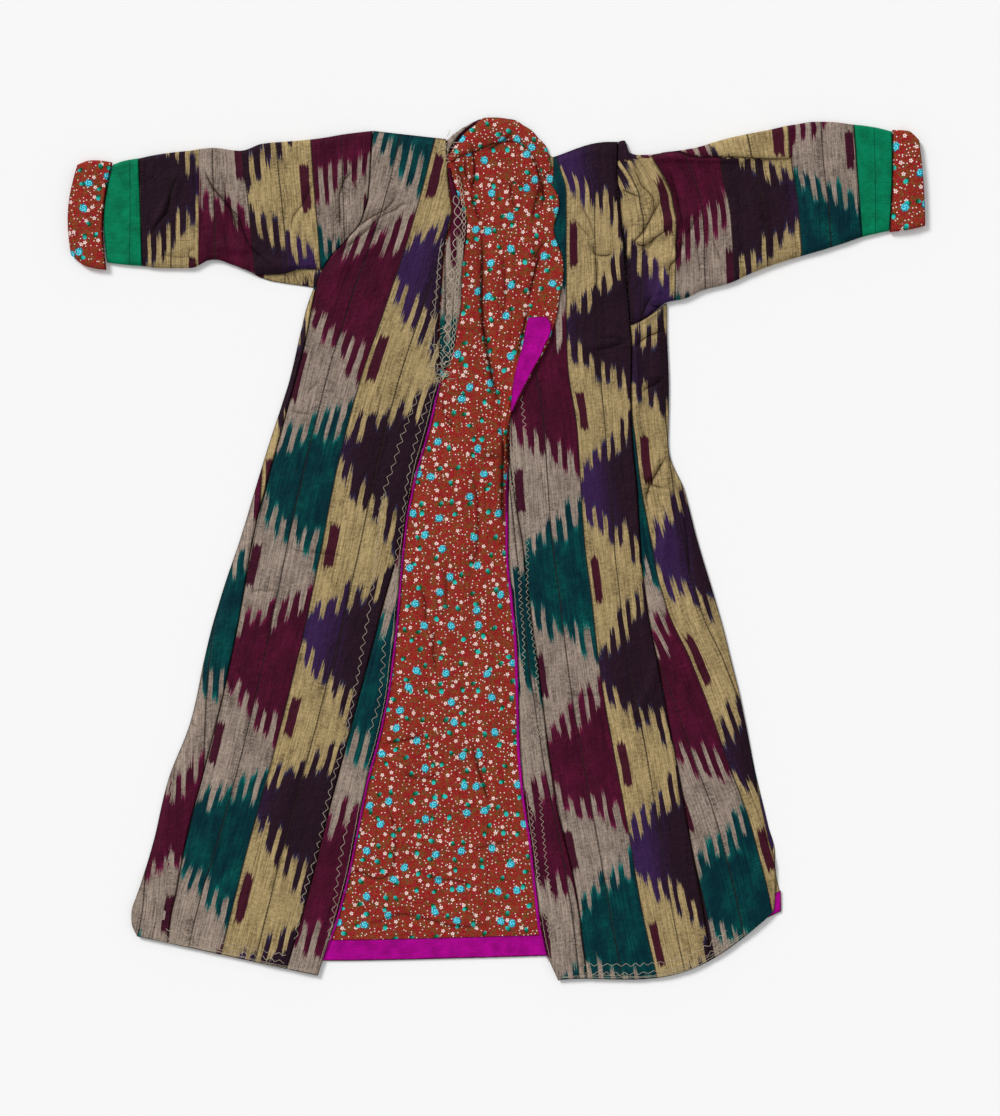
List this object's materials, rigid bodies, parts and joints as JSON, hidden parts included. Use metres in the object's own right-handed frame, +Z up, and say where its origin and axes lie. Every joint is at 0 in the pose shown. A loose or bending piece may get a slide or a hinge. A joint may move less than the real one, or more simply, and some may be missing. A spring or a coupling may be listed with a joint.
{
  "type": "uzbek chapan robe",
  "caption": "Long quilted ikat robe with a flowered lining, laid flat on its back with both fronts open, one lapel turned out and the sleeves spread to the sides.",
  "frame": {"origin": "bottom centre of the bounding box, on the surface that the robe lies on", "axes": "+Z up from the surface through the back to the fronts, +Y along the robe from the hem to the neck, +X across it to the sleeve on the wearer's left"},
  "size_m": [1.2409, 1.25, 0.013],
  "materials": {
    "ikat": "warp ikat of silk and cotton, maroon, teal, dark purple, tan and greige, with a soft sheen",
    "flowered": "matt printed cotton, small flowers on brick red",
    "magenta": "plain magenta cotton facing",
    "green": "plain green satin band"
  },
  "bodies": {
    "root": {"back_panel": "ikat", "back_lining": "flowered", "back_hem_facing": "magenta", "left_front_panel": "ikat", "left_side_gore": "ikat", "left_front_wedge": "ikat", "left_front_facing": "magenta", "left_collar_band": "ikat", "right_front_panel": "ikat", "right_side_gore": "ikat", "right_front_wedge": "ikat", "right_front_facing": "magenta", "right_lapel": "flowered", "right_lapel_facing": "magenta", "neck_band": "flowered", "neck_band_outer": "ikat", "left_sleeve": "ikat", "right_sleeve": "ikat", "left_underarm_gusset": "ikat", "left_sleeve_end": "green", "right_sleeve_end": "green", "left_cuff": "flowered", "right_cuff": "flowered"}
  },
  "joints": []
}
